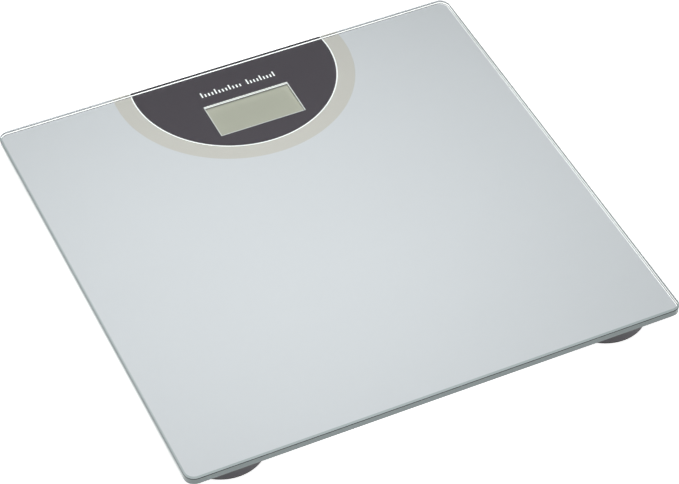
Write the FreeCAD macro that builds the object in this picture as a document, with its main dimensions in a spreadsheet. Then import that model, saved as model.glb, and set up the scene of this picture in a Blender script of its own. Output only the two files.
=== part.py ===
import FreeCAD, Part
import math
import os
import re
import Sketcher

# Digital bathroom scale: a tempered-glass platform that stands on four load-cell feet.
# A shallow housing glued under the back of the glass holds the display, the circuit
# board and the coin cell. The origin is on the floor under the middle of the platform,
# +Z is up and +Y points to the edge that carries the display. All sizes are millimetres.

# ---------------------------------------------------------------- driving dimensions

SIZES = {
    # platform
    "platform_side": 300.0,
    "glass_thickness": 6.0,
    "glass_corner": 6.5,
    "glass_chamfer": 1.1,
    "stand_height": 14.5,
    # feet
    "foot_inset": 32.5,
    "foot_radius": 25.5,
    "foot_wall": 1.8,
    "foot_floor": 2.0,
    "foot_edge_round": 0.9,
    "foot_drop": 0.6,
    "foot_stop_gap": 0.05,
    "foot_boss_radius": 4.0,
    "foot_rib_width": 1.4,
    "foot_rib_rise": 2.2,
    "foot_rib_count": 6.0,
    "foot_rib_lap": 0.4,
    "foot_top_gap": 0.6,
    "pad_thickness": 1.2,
    "pad_inset": 0.5,
    "pad_groove_radius": 14.0,
    "pad_groove_width": 1.2,
    "pad_groove_rise": 0.5,
    "adhesive_thickness": 0.8,
    "adhesive_inset": 3.5,
    "bracket_plate": 1.4,
    "bracket_inset": 0.6,
    "bracket_rim_wall": 1.6,
    "bracket_lip_reach": 1.0,
    "bracket_lip_rise": 1.2,
    "bracket_lip_clearance": 0.8,
    "bracket_post_radius": 2.2,
    "bracket_post_inset": 4.0,
    "bracket_tab_width": 6.0,
    "bracket_tab_rise": 0.8,
    "bracket_skirt": 1.0,
    "barb_clearance": 0.4,
    "barb_rise": 1.2,
    "barb_width": 8.0,
    "seat_clearance": 0.1,
    # load cells
    "cell_play": 1.15,
    "cell_corner": 5.0,
    "cell_thickness": 1.5,
    "cell_headroom": 0.9,
    "cell_slot": 2.0,
    "cell_tongue_width": 12.0,
    "cell_tongue_margin": 6.0,
    "gauge_length": 5.5,
    "gauge_width": 7.0,
    "gauge_rise": 0.8,
    "gauge_corner": 0.8,
    # leads
    "lead_radius": 0.7,
    "lead_below_glass": 1.55,
    "lead_slot_width": 2.2,
    "lead_channel_gap": 0.2,
    "lead_start": 3.5,
    "lead_slot_gap": 0.5,
    "lead_spacing": 16.0,
    "lead_bow": 22.0,
    "lead_sway": 7.0,
    "lead_turn_in": 10.0,
    "lead_foot_gap": 2.0,
    "lead_back_entry": 5.0,
    "lead_descent": 9.0,
    "lead_tail": 6.0,
    "lead_overhang": 2.0,
    "clip_length": 6.0,
    "clip_width": 7.0,
    "clip_rise": 2.9,
    "clip_pitch": 55.0,
    # control housing
    "housing_depth": 46.0,
    "housing_corner": 5.0,
    "housing_wall": 1.6,
    "housing_floor": 1.8,
    "housing_lift": 2.5,
    "housing_edge_round": 1.0,
    "brim_reach": 3.0,
    "brim_rise": 1.2,
    "tape_thickness": 0.6,
    "tape_width": 4.0,
    "tape_inset": 0.5,
    "window_to_edge": 42.7,
    # display
    "window_width": 55.5,
    "window_depth": 28.4,
    "window_margin": 0.4,
    "display_recess": 2.4,
    "lcd_margin_x": 2.25,
    "lcd_margin_y": 2.3,
    "lcd_thickness": 2.2,
    "film_thickness": 0.2,
    "film_inset": 0.5,
    "reflector_gap": 0.7,
    "connector_rise": 1.8,
    "connector_width": 2.4,
    "connector_end_gap": 2.0,
    "connector_inset": 0.4,
    "frame_wall_x": 4.0,
    "frame_wall_y": 2.0,
    "frame_corner": 1.5,
    "frame_clearance": 0.2,
    "frame_top_gap": 0.2,
    "lug_width": 7.0,
    "lug_depth": 6.0,
    "lug_rise": 1.2,
    "lug_spacing_y": 26.0,
    # circuit board
    "board_thickness": 1.2,
    "board_margin": 1.4,
    "board_end_margin": 3.4,
    "board_past_lug": 4.3,
    "board_corner": 2.0,
    "board_hole_radius": 1.2,
    "end_screw_inset": 5.0,
    "end_screw_spacing": 30.0,
    "boss_radius": 2.4,
    "pilot_radius": 0.8,
    "pilot_grip": 0.03,
    "screw_tip_gap": 0.4,
    "screw_thread_length": 3.6,
    "screw_head_radius": 1.8,
    "screw_head_rise": 1.1,
    "screw_drive_width": 0.5,
    "screw_drive_length": 2.2,
    "screw_drive_depth": 0.6,
    "chip_radius": 7.0,
    "chip_top_radius": 5.0,
    "chip_rise": 1.1,
    "chip_x": -8.0,
    "capacitor_length": 3.5,
    "capacitor_width": 2.8,
    "capacitor_rise": 1.9,
    "capacitor_pitch": 6.0,
    "capacitor_x": 16.0,
    "capacitor_count": 3.0,
    "resistor_length": 1.6,
    "resistor_width": 0.8,
    "resistor_rise": 0.5,
    "resistor_pitch": 2.6,
    "resistor_x": -27.0,
    "resistor_count": 8.0,
    "solder_radius": 1.0,
    "solder_top_radius": 0.5,
    "solder_rise": 0.9,
    # unit button
    "button_to_side": 21.0,
    "button_radius": 3.9,
    "button_clearance": 0.3,
    "button_flange_radius": 5.0,
    "button_flange_rise": 0.5,
    "button_proud": 0.2,
    "button_edge_round": 0.5,
    "button_travel": 0.4,
    "button_float": 0.05,
    "switch_side": 6.0,
    "switch_rise": 1.5,
    "switch_roof": 0.3,
    "stem_radius": 1.2,
    "stem_clearance": 0.15,
    # battery
    "battery_to_side": 3.0,
    "battery_radius": 10.0,
    "battery_thickness": 3.2,
    "battery_cap_inset": 1.3,
    "battery_cap_rise": 0.25,
    "battery_edge": 0.3,
    "battery_float": 0.15,
    "well_clearance": 0.3,
    "well_wall": 1.4,
    "well_to_board": 1.0,
    "roof_thickness": 0.8,
    "contact_thickness": 0.25,
    "contact_headroom": 0.4,
    "positive_width": 3.0,
    "negative_width": 2.6,
    "negative_y": -4.75,
    "contact_tab": 4.5,
    "contact_board_gap": 0.3,
    "bay_plate": 0.9,
    "bay_margin": 0.7,
    "bay_side_margin": 1.7,
    "door_thickness": 1.4,
    "door_margin": 2.1,
    "door_wing": 1.2,
    "door_wing_rise": 0.65,
    "door_clearance": 0.1,
    "door_play": 0.2,
    "door_grip_pitch": 2.6,
    "door_grip_width": 1.1,
    "door_grip_length": 12.0,
    "door_grip_depth": 0.4,
    "door_grip_count": 4.0,
}

# ------------------------------------------------- levels and places that follow them

DERIVED = {
    # levels above the floor
    "half_side": "platform_side / 2",
    "foot_place": "half_side - foot_inset",
    "cup_bottom": "pad_thickness",
    "cup_floor_top": "cup_bottom + foot_floor",
    "plate_top": "stand_height - adhesive_thickness",
    "plate_bottom": "plate_top - bracket_plate",
    "cup_top": "plate_bottom - foot_top_gap",
    "cell_top": "plate_bottom - cell_headroom",
    "cell_bottom": "cell_top - cell_thickness",
    "tab_top": "cell_bottom - seat_clearance",
    "tab_bottom": "tab_top - bracket_tab_rise",
    "rim_bottom": "tab_bottom - bracket_skirt",
    "lip_top": "rim_bottom + bracket_lip_rise",
    "barb_bottom": "lip_top + foot_drop + foot_stop_gap",
    "cup_bore": "foot_radius - foot_wall",
    "lip_radius": "cup_bore - bracket_lip_clearance",
    "rim_radius": "lip_radius - bracket_lip_reach",
    "rim_bore": "rim_radius - bracket_rim_wall",
    "barb_radius": "rim_radius + barb_clearance",
    "cell_side": "sqrt(2) * (rim_bore - cell_play) + (2 - sqrt(2)) * cell_corner",
    "cell_tongue_root": "cell_side / 2 - cell_tongue_margin",
    "lead_level": "stand_height - lead_below_glass",
    # display stack, from the glass down
    "display_y": "half_side - window_to_edge",
    "lcd_width": "window_width + 2 * lcd_margin_x",
    "lcd_depth": "window_depth + 2 * lcd_margin_y",
    "frame_width": "lcd_width + 2 * frame_wall_x",
    "frame_depth": "lcd_depth + 2 * frame_wall_y",
    "lug_spacing_x": "frame_width + lug_width",
    "board_right": "lug_spacing_x / 2 + lug_width / 2 + board_past_lug",
    "battery_x": "board_right + well_to_board + well_radius",
    "half_width": "battery_x + battery_radius + battery_to_side",
    "housing_width": "2 * half_width",
    "board_left": "half_width - housing_wall - board_end_margin",
    "board_depth": "housing_depth - 2 * (housing_wall + board_margin)",
    "end_screw_x": "board_left - end_screw_inset",
    "button_x": "half_width - button_to_side",
    "lcd_top": "stand_height - display_recess",
    "lcd_bottom": "lcd_top - lcd_thickness",
    "board_top": "lcd_bottom - connector_rise",
    "board_bottom": "board_top - board_thickness",
    "housing_floor_top": "housing_lift + housing_floor",
    "housing_top": "stand_height - tape_thickness",
    "lug_top": "board_top + lug_rise",
    "lead_board_level": "board_top + lead_radius + seat_clearance / 2",
    # battery bay
    "door_half_depth": "battery_radius + door_margin",
    "bay_left": "well_radius + bay_margin",
    "bay_half_depth": "door_half_depth + door_wing + bay_side_margin",
    "door_top": "housing_lift + door_thickness",
    "bay_bottom": "door_top + door_clearance",
    "bay_top": "bay_bottom + bay_plate",
    "wing_bottom": "door_top - door_wing_rise",
    "battery_bottom": "bay_bottom + battery_float",
    "battery_top": "battery_bottom + battery_thickness",
    "well_top": "battery_top + contact_thickness + contact_headroom",
    "well_bore": "battery_radius + well_clearance",
    "well_radius": "well_bore + well_wall",
    "roof_top": "well_top + roof_thickness",
    "contact_window_rise": "well_top - battery_top + contact_headroom / 2",
    "contact_bend": "board_right + contact_board_gap",
}

doc = FreeCAD.newDocument("bathroom_scale")
sheet = doc.addObject("Spreadsheet::Sheet", "Sizes")
for row, (alias, number) in enumerate(SIZES.items(), 1):
    sheet.set(f"A{row}", alias)
    sheet.set(f"B{row}", str(number))
    sheet.setAlias(f"B{row}", alias)
doc.recompute()


def expand(text):
    """Write a formula of plain names as one that the document understands."""
    def cell(match):
        name = match.group(0)
        if name in DERIVED:
            return "(" + expand(DERIVED[name]) + ")"
        return "Sizes." + name if name in SIZES else name
    return re.sub(r"[a-z_][a-z0-9_]*", cell, str(text))


def size(text):
    """The present value of a formula."""
    return float(sheet.evalExpression(expand(text)))


def bind(item, **formulas):
    """Tie properties of an object to formulas of the sheet's sizes."""
    for name, formula in formulas.items():
        item.setExpression(name, expand(formula))


def place(item, x="0", y="0", z="0", angle=None):
    """Tie an object's place, and its turn about Z in degrees, to formulas."""
    for axis, formula in zip("xyz", (x, y, z)):
        item.setExpression(f"Placement.Base.{axis}", expand(formula))
    if angle is not None:
        item.setExpression("Placement.Rotation.Angle", expand(angle))


# --------------------------------------------------------------------- sketch helpers

def new_body(label):
    body = doc.addObject("PartDesign::Body", label)
    body.Label = label
    return body


def new_sketch(body, plane="XY_Plane", level="0"):
    """A sketch on one of the body's own origin planes, raised along its normal."""
    sketch = body.newObject("Sketcher::SketchObject", "Sketch")
    support = [item for item in body.Origin.OriginFeatures if item.Role == plane][0]
    sketch.AttachmentSupport = [(support, "")]
    sketch.MapMode = "FlatFace"
    sketch.setExpression("AttachmentOffset.Base.z", expand(level))
    return sketch


def hold(sketch, kind, *where, formula):
    """Add a sketch dimension that follows a formula."""
    index = sketch.addConstraint(Sketcher.Constraint(kind, *where, size(formula)))
    sketch.setExpression(f"Constraints[{index}]", expand(formula))


def pin_point(sketch, geometry, point, x, y):
    """Hold a point of the sketch at (x, y), both formulas."""
    for kind, formula, axis in (("DistanceX", x, -2), ("DistanceY", y, -1)):
        if abs(size(formula)) < 1e-9:
            sketch.addConstraint(Sketcher.Constraint("PointOnObject", geometry, point, axis))
        else:
            hold(sketch, kind, -1, 1, geometry, point, formula=formula)


def draw_outline(sketch, corners):
    """Closed outline of straight edges through corners, which are pairs of formulas."""
    points = [FreeCAD.Vector(size(x), size(y), 0) for x, y in corners]
    first = sketch.GeometryCount
    count = len(points)
    for index, point in enumerate(points):
        sketch.addGeometry(Part.LineSegment(point, points[(index + 1) % count]), False)
    for index, (x, y) in enumerate(corners):
        line, following = first + index, first + (index + 1) % count
        sketch.addConstraint(Sketcher.Constraint("Coincident", line, 2, following, 1))
        pin_point(sketch, line, 1, x, y)


def draw_box(sketch, x0, x1, y0, y1):
    draw_outline(sketch, [(x0, y0), (x1, y0), (x1, y1), (x0, y1)])


def draw_circle(sketch, x, y, radius):
    centre = FreeCAD.Vector(size(x), size(y), 0)
    circle = Part.Circle(centre, FreeCAD.Vector(0, 0, 1), size(radius))
    index = sketch.addGeometry(circle, False)
    pin_point(sketch, index, 3, x, y)
    hold(sketch, "Radius", index, formula=radius)


def draw_rounded_box(sketch, width, depth, corner):
    """Rounded rectangle centred on the sketch's origin."""
    half_x, half_y, r = size(width) / 2, size(depth) / 2, size(corner)
    lines = []
    arcs = []
    quarters = [(1, -1, 270), (1, 1, 0), (-1, 1, 90), (-1, -1, 180)]
    ends = []
    for sign_x, sign_y, start in quarters:
        centre = FreeCAD.Vector(sign_x * (half_x - r), sign_y * (half_y - r), 0)
        circle = Part.Circle(centre, FreeCAD.Vector(0, 0, 1), r)
        arc = Part.ArcOfCircle(circle, math.radians(start), math.radians(start + 90))
        ends.append((arc.StartPoint, arc.EndPoint))
        arcs.append(sketch.addGeometry(arc, False))
    for index in range(4):
        following = (index + 1) % 4
        line = Part.LineSegment(ends[index][1], ends[following][0])
        lines.append(sketch.addGeometry(line, False))
    for index in range(4):
        following = (index + 1) % 4
        sketch.addConstraint(Sketcher.Constraint("Tangent", arcs[index], 2, lines[index], 1))
        sketch.addConstraint(Sketcher.Constraint("Tangent", lines[index], 2, arcs[following], 1))
        if index:
            sketch.addConstraint(Sketcher.Constraint("Equal", arcs[0], arcs[index]))
    for index, kind in enumerate(("Vertical", "Horizontal", "Vertical", "Horizontal")):
        sketch.addConstraint(Sketcher.Constraint(kind, lines[index]))
    hold(sketch, "Radius", arcs[0], formula=corner)
    hold(sketch, "DistanceX", -1, 1, lines[0], 1, formula=f"({width}) / 2")
    hold(sketch, "DistanceY", -1, 1, lines[1], 1, formula=f"({depth}) / 2")
    hold(sketch, "DistanceX", lines[2], 1, -1, 1, formula=f"({width}) / 2")
    hold(sketch, "DistanceY", lines[3], 1, -1, 1, formula=f"({depth}) / 2")


# -------------------------------------------------------------------- feature helpers

def add_pad(body, sketch, length, reverse=False):
    pad = body.newObject("PartDesign::Pad", "Pad")
    pad.Profile = sketch
    bind(pad, Length=length)
    pad.Reversed = reverse
    doc.recompute()
    return pad


def add_pocket(body, sketch, depth, upward=False):
    """Cut from the sketch downward, or upward; a cut that removes nothing is an error."""
    before = body.Shape.Volume
    pocket = body.newObject("PartDesign::Pocket", "Pocket")
    pocket.Profile = sketch
    bind(pocket, Length=depth)
    pocket.Reversed = upward
    doc.recompute()
    if body.Shape.Volume > before - 1e-6:
        raise ValueError(f"{body.Label}: a pocket cut nothing")
    return pocket


def add_revolution(body, corners):
    """Turn an outline of (radius, level) pairs about the Z axis."""
    sketch = new_sketch(body, "XZ_Plane")
    draw_outline(sketch, corners)
    turn = body.newObject("PartDesign::Revolution", "Revolution")
    turn.Profile = sketch
    turn.ReferenceAxis = (sketch, ["V_Axis"])
    turn.Angle = 360
    doc.recompute()
    return turn


def add_edge_feature(body, kind, test, **formulas):
    """Fillet or chamfer the edges of the body's present shape that pass the test."""
    base = body.Tip
    edges = [f"Edge{n}" for n, edge in enumerate(base.Shape.Edges, 1) if test(edge)]
    feature = body.newObject(f"PartDesign::{kind}", kind)
    feature.Base = (base, edges)
    bind(feature, **formulas)
    doc.recompute()
    return feature


def flat_at(edge, level):
    """Whether an edge lies in the horizontal plane at a level."""
    box = edge.BoundBox
    return abs(box.ZMin - level) < 1e-4 and abs(box.ZMax - level) < 1e-4


def block(name, x0, x1, y0, y1, z0, z1):
    """A plain box between two corners, all formulas."""
    box = doc.addObject("Part::Box", name)
    bind(box, Length=f"({x1}) - ({x0})", Width=f"({y1}) - ({y0})", Height=f"({z1}) - ({z0})")
    place(box, x0, y0, z0)
    return box


def cylinder(name, radius, height, x="0", y="0", z="0"):
    item = doc.addObject("Part::Cylinder", name)
    bind(item, Radius=radius, Height=height)
    place(item, x, y, z)
    return item


def cone(name, low_radius, high_radius, height, x="0", y="0", z="0"):
    item = doc.addObject("Part::Cone", name)
    bind(item, Radius1=low_radius, Radius2=high_radius, Height=height)
    place(item, x, y, z)
    return item


def cut(name, base, tools):
    """The base without the tools."""
    tool = tools[0]
    if len(tools) > 1:
        tool = doc.addObject("Part::MultiFuse", name + "_tools")
        tool.Shapes = tools
    item = doc.addObject("Part::Cut", name)
    item.Base = base
    item.Tool = tool
    return item


def fuse(name, items):
    item = doc.addObject("Part::MultiFuse", name)
    item.Shapes = items
    return item


def group(name, items):
    """Like pieces, each a solid of its own, kept under one name."""
    item = doc.addObject("Part::Compound", name)
    item.Links = items
    return item


pieces = []


def piece(item, label):
    """Register an object as a piece of the scale."""
    item.Label = label
    pieces.append(item)
    return item


# --------------------------------------------------------------------------- platform

def make_glass_platform():
    """Tempered glass with ground and polished arrises."""
    body = piece(new_body("glass_platform"), "glass_platform")
    sketch = new_sketch(body)
    draw_rounded_box(sketch, "platform_side", "platform_side", "glass_corner")
    add_pad(body, sketch, "glass_thickness")
    top = size("glass_thickness")
    add_edge_feature(
        body, "Chamfer",
        lambda edge: flat_at(edge, 0) or flat_at(edge, top),
        Size="glass_chamfer",
    )
    place(body, z="stand_height")


# ------------------------------------------------------------------------------- feet

CORNERS = {
    "front_left": (-1, -1),
    "front_right": (1, -1),
    "back_left": (-1, 1),
    "back_right": (1, 1),
}


def lead_heading(side, end):
    """Direction in degrees in which a foot's lead sets off under the glass."""
    if end > 0:
        return "0 deg" if side < 0 else "180 deg"
    rise = "half_side / 2 - foot_inset"
    turn = f"atan2({rise}; lead_bow)"
    return turn if side < 0 else f"180 deg - {turn}"


def seat_on_corner(body, side, end):
    place(body, f"{side} * foot_place", f"{end} * foot_place", angle=lead_heading(side, end))


def make_foot_adhesive(corner, side, end):
    """Foam adhesive disc between the bracket and the glass."""
    body = piece(new_body(f"foot_adhesive_{corner}"), f"foot_adhesive_{corner}")
    sketch = new_sketch(body, level="plate_top")
    draw_circle(sketch, "0", "0", "foot_radius - adhesive_inset")
    add_pad(body, sketch, "adhesive_thickness")
    seat_on_corner(body, side, end)


def make_sensor_bracket(corner, side, end):
    """Moulded bracket: a plate glued to the glass, and a rim that surrounds the load cell."""
    body = piece(new_body(f"sensor_bracket_{corner}"), f"sensor_bracket_{corner}")
    plate_radius = "foot_radius - bracket_inset"
    add_revolution(body, [
        ("0", "plate_bottom"),
        ("rim_bore", "plate_bottom"),
        ("rim_bore", "rim_bottom"),
        ("lip_radius", "rim_bottom"),
        ("lip_radius", "lip_top"),
        ("rim_radius", "lip_top"),
        ("rim_radius", "plate_bottom"),
        (plate_radius, "plate_bottom"),
        (plate_radius, "plate_top"),
        ("0", "plate_top"),
    ])
    sketch = new_sketch(body, level="cell_top")
    for x in (-1, 1):
        for y in (-1, 1):
            centre = "(cell_side / 2 - bracket_post_inset)"
            draw_circle(sketch, f"{x} * {centre}", f"{y} * {centre}", "bracket_post_radius")
    add_pad(body, sketch, "plate_bottom - cell_top + seat_clearance")
    sketch = new_sketch(body, level="tab_bottom")
    inner = "(cell_side / 2 - bracket_tab_rise)"
    outer = "(rim_bore + bracket_rim_wall / 4)"
    half = "bracket_tab_width / 2"
    draw_box(sketch, f"-{half}", half, inner, outer)
    draw_box(sketch, f"-{half}", half, f"-{outer}", f"-{inner}")
    add_pad(body, sketch, "bracket_tab_rise")
    sketch = new_sketch(body, level="plate_top")
    start, half = "lead_start - lead_slot_gap", "lead_slot_width / 2"
    draw_box(sketch, start, "foot_radius", f"-{half}", half)
    add_pocket(body, sketch, "plate_top - lead_level + lead_radius + lead_channel_gap / 2")
    seat_on_corner(body, side, end)


def make_load_cell(corner, side, end):
    """Stamped steel plate: the foot presses its tongue, and its frame bears on the bracket."""
    body = piece(new_body(f"load_cell_{corner}"), f"load_cell_{corner}")
    sketch = new_sketch(body, level="cell_bottom")
    draw_rounded_box(sketch, "cell_side", "cell_side", "cell_corner")
    add_pad(body, sketch, "cell_thickness")
    tip = "-cell_tongue_root"
    half = "cell_tongue_width / 2"
    sketch = new_sketch(body, level="cell_top")
    draw_outline(sketch, [
        ("cell_tongue_root", f"-{half} - cell_slot"),
        ("cell_tongue_root", f"-{half}"),
        (tip, f"-{half}"),
        (tip, half),
        ("cell_tongue_root", half),
        ("cell_tongue_root", f"{half} + cell_slot"),
        (f"{tip} - cell_slot", f"{half} + cell_slot"),
        (f"{tip} - cell_slot", f"-{half} - cell_slot"),
    ])
    add_pocket(body, sketch, "cell_thickness + seat_clearance")
    seat_on_corner(body, side, end)


def make_strain_gauge(corner, side, end):
    """Strain gauge under its silicone coat, bonded to the root of the load cell's tongue."""
    body = piece(new_body(f"strain_gauge_{corner}"), f"strain_gauge_{corner}")
    sketch = new_sketch(body, level="cell_top")
    draw_rounded_box(sketch, "gauge_length", "gauge_width", "gauge_corner")
    add_pad(body, sketch, "gauge_rise")
    turn = lead_heading(side, end)
    reach = "(cell_tongue_root - gauge_length / 2)"
    x = f"{side} * foot_place + {reach} * cos({turn})"
    y = f"{end} * foot_place + {reach} * sin({turn})"
    place(body, x, y, angle=turn)


def turn_about_axis(body, feature, sketch, count):
    """Repeat a feature round the sketch's normal."""
    pattern = body.newObject("PartDesign::PolarPattern", "Pattern")
    pattern.Originals = [feature]
    pattern.Axis = (sketch, ["N_Axis"])
    pattern.Angle = 360
    pattern.Occurrences = count
    body.Tip = pattern
    doc.recompute()


def make_foot_cup(corner, side, end):
    """Moulded foot that slides on the bracket; its boss presses the load cell's tongue."""
    body = piece(new_body(f"foot_cup_{corner}"), f"foot_cup_{corner}")
    add_revolution(body, [
        ("0", "cup_bottom"),
        ("foot_radius", "cup_bottom"),
        ("foot_radius", "cup_top"),
        ("cup_bore", "cup_top"),
        ("cup_bore", "cup_floor_top"),
        ("foot_boss_radius", "cup_floor_top"),
        ("foot_boss_radius", "cell_bottom"),
        ("0", "cell_bottom"),
    ])
    low, wide = size("cup_bottom"), size("foot_radius")
    add_edge_feature(
        body, "Fillet",
        lambda e: flat_at(e, low) and abs(e.BoundBox.XMax - wide) < 1e-3,
        Radius="foot_edge_round",
    )
    rib = new_sketch(body, level="cup_floor_top - seat_clearance")
    root, tip = "(foot_boss_radius - foot_rib_lap)", "(cup_bore + foot_rib_lap)"
    draw_box(rib, root, tip, "-foot_rib_width / 2", "foot_rib_width / 2")
    ribs = add_pad(body, rib, "foot_rib_rise + seat_clearance")
    turn_about_axis(body, ribs, rib, int(size("foot_rib_count")))
    barb = new_sketch(body, level="barb_bottom")
    half = "barb_width / 2"
    draw_box(barb, "barb_radius", "(foot_radius - foot_wall / 2)", f"-{half}", half)
    barbs = add_pad(body, barb, "barb_rise")
    turn_about_axis(body, barbs, barb, 3)
    seat_on_corner(body, side, end)


def make_foot_pad(corner, side, end):
    """Rubber disc bonded under the foot, with one anti-slip groove."""
    body = piece(new_body(f"foot_pad_{corner}"), f"foot_pad_{corner}")
    radius = "foot_radius - pad_inset"
    groove_out = "pad_groove_radius + pad_groove_width"
    add_revolution(body, [
        ("0", "0"),
        ("pad_groove_radius", "0"),
        ("pad_groove_radius", "pad_groove_rise"),
        (groove_out, "pad_groove_rise"),
        (groove_out, "0"),
        (f"{radius} - 2 * seat_clearance", "0"),
        (radius, "2 * seat_clearance"),
        (radius, "pad_thickness"),
        ("0", "pad_thickness"),
    ])
    seat_on_corner(body, side, end)


# -------------------------------------------------------------------- control housing

def seat_on_display(body):
    place(body, "0", "display_y")


def screw_places():
    """Screw centres about the display's middle: four through the frame, two at the end."""
    lugs = []
    for x in (-1, 1):
        for y in (-1, 1):
            lugs.append((f"{x} * lug_spacing_x / 2", f"{y} * lug_spacing_y / 2"))
    ends = [("-end_screw_x", f"{y} * end_screw_spacing / 2") for y in (-1, 1)]
    return lugs, ends


def make_control_housing():
    """Moulded tray glued under the glass: display, board, unit button and battery bay."""
    body = piece(new_body("control_housing"), "control_housing")
    sketch = new_sketch(body, level="housing_lift")
    draw_rounded_box(sketch, "housing_width", "housing_depth", "housing_corner")
    add_pad(body, sketch, "housing_top - housing_lift")
    low = size("housing_lift")
    add_edge_feature(body, "Fillet", lambda e: flat_at(e, low), Radius="housing_edge_round")
    sketch = new_sketch(body, level="housing_top")
    draw_rounded_box(
        sketch,
        "housing_width + 2 * brim_reach",
        "housing_depth + 2 * brim_reach",
        "housing_corner + brim_reach",
    )
    add_pad(body, sketch, "brim_rise", reverse=True)
    sketch = new_sketch(body, level="housing_top")
    draw_rounded_box(
        sketch,
        "housing_width - 2 * housing_wall",
        "housing_depth - 2 * housing_wall",
        "housing_corner - housing_wall",
    )
    add_pocket(body, sketch, "housing_top - housing_floor_top")

    lugs, ends = screw_places()
    sketch = new_sketch(body, level="housing_floor_top - seat_clearance")
    for x, y in lugs + ends:
        draw_circle(sketch, x, y, "boss_radius")
    add_pad(body, sketch, "board_bottom - housing_floor_top + seat_clearance")
    sketch = new_sketch(body, level="board_bottom")
    for x, y in lugs + ends:
        draw_circle(sketch, x, y, "pilot_radius")
    add_pocket(body, sketch, "screw_thread_length")

    sketch = new_sketch(body, level="housing_floor_top - seat_clearance")
    inner_edge = "housing_width / 2 - housing_wall / 2"
    draw_box(sketch, "battery_x - bay_left", inner_edge, "-bay_half_depth", "bay_half_depth")
    add_pad(body, sketch, "bay_top - housing_floor_top + seat_clearance")
    sketch = new_sketch(body, level="housing_floor_top - seat_clearance")
    draw_circle(sketch, "battery_x", "0", "well_radius")
    add_pad(body, sketch, "roof_top - housing_floor_top + seat_clearance")
    sketch = new_sketch(body, level="housing_lift")
    draw_circle(sketch, "battery_x", "0", "well_bore")
    add_pocket(body, sketch, "well_top - housing_lift", upward=True)
    sketch = new_sketch(body, level="housing_lift")
    recess_left = "battery_x - bay_left + door_play"
    side = "(door_half_depth + door_play)"
    past_edge = "housing_width / 2 + brim_reach"
    draw_box(sketch, recess_left, past_edge, f"-{side}", side)
    add_pocket(body, sketch, "bay_bottom - housing_lift", upward=True)
    sketch = new_sketch(body, level="bay_bottom")
    wing = "(door_half_depth + door_wing + door_play)"
    draw_box(sketch, recess_left, past_edge, f"-{wing}", wing)
    add_pocket(body, sketch, "bay_bottom - wing_bottom + door_clearance")
    sketch = new_sketch(body, level="well_top")
    for middle, width in (("0", "positive_width"), ("negative_y", "negative_width")):
        half = f"({width} / 2 + contact_headroom)"
        draw_box(sketch, "battery_x - bay_left", "battery_x - battery_radius / 2",
                 f"{middle} - {half}", f"{middle} + {half}")
    add_pocket(body, sketch, "contact_window_rise")
    sketch = new_sketch(body, level="well_top")
    half = "(positive_width / 2 + contact_headroom)"
    draw_box(sketch, "battery_x - well_bore - contact_thickness", "battery_x - battery_radius / 2",
             f"-{half}", half)
    add_pocket(body, sketch, "well_top - bay_top")

    sketch = new_sketch(body, level="housing_lift")
    draw_circle(sketch, "-button_x", "0", "button_radius + button_clearance")
    add_pocket(body, sketch, "housing_floor", upward=True)
    sketch = new_sketch(body, level="housing_top")
    half = "lead_slot_width / 2"
    outer = "(housing_width / 2 + 2 * brim_reach)"
    inner = "(housing_width / 2 - 2 * housing_wall)"
    for y in (-1, 1):
        low, high = f"{y} * lead_spacing / 2 - {half}", f"{y} * lead_spacing / 2 + {half}"
        draw_box(sketch, inner, outer, low, high)
        draw_box(sketch, f"-{outer}", f"-{inner}", low, high)
    add_pocket(body, sketch, "housing_top - lead_level + lead_radius + lead_channel_gap")
    seat_on_display(body)


def make_housing_tape():
    """Foam adhesive frame between the housing's brim and the glass."""
    body = piece(new_body("housing_tape"), "housing_tape")
    sketch = new_sketch(body, level="housing_top")
    outer = "2 * (brim_reach - tape_inset)"
    corner = "housing_corner + brim_reach - tape_inset"
    draw_rounded_box(sketch, f"housing_width + {outer}", f"housing_depth + {outer}", corner)
    inner = f"{outer} - 2 * tape_width"
    draw_rounded_box(sketch, f"housing_width + {inner}", f"housing_depth + {inner}", "housing_corner")
    add_pad(body, sketch, "tape_thickness")
    seat_on_display(body)


def make_display_frame():
    """White moulded frame that holds the display down on its connectors."""
    body = piece(new_body("display_frame"), "display_frame")
    sketch = new_sketch(body, level="board_top")
    draw_rounded_box(sketch, "frame_width", "frame_depth", "frame_corner")
    add_pad(body, sketch, "stand_height - frame_top_gap - board_top")
    lugs, _ = screw_places()
    sketch = new_sketch(body, level="board_top")
    for x, y in lugs:
        draw_box(sketch, f"{x} - lug_width / 2", f"{x} + lug_width / 2",
                 f"{y} - lug_depth / 2", f"{y} + lug_depth / 2")
    add_pad(body, sketch, "lug_rise")
    sketch = new_sketch(body, level="board_top")
    half_x = "(lcd_width / 2 + frame_clearance)"
    half_y = "(lcd_depth / 2 + frame_clearance)"
    draw_box(sketch, f"-{half_x}", half_x, f"-{half_y}", half_y)
    add_pocket(body, sketch, "lcd_top - board_top", upward=True)
    sketch = new_sketch(body, level="board_top")
    half_x = "(window_width / 2 + window_margin)"
    half_y = "(window_depth / 2 + window_margin)"
    draw_box(sketch, f"-{half_x}", half_x, f"-{half_y}", half_y)
    add_pocket(body, sketch, "stand_height - board_top", upward=True)
    sketch = new_sketch(body, level="board_top")
    for x, y in lugs:
        draw_circle(sketch, x, y, "board_hole_radius")
    add_pocket(body, sketch, "lug_rise", upward=True)
    seat_on_display(body)


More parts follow.
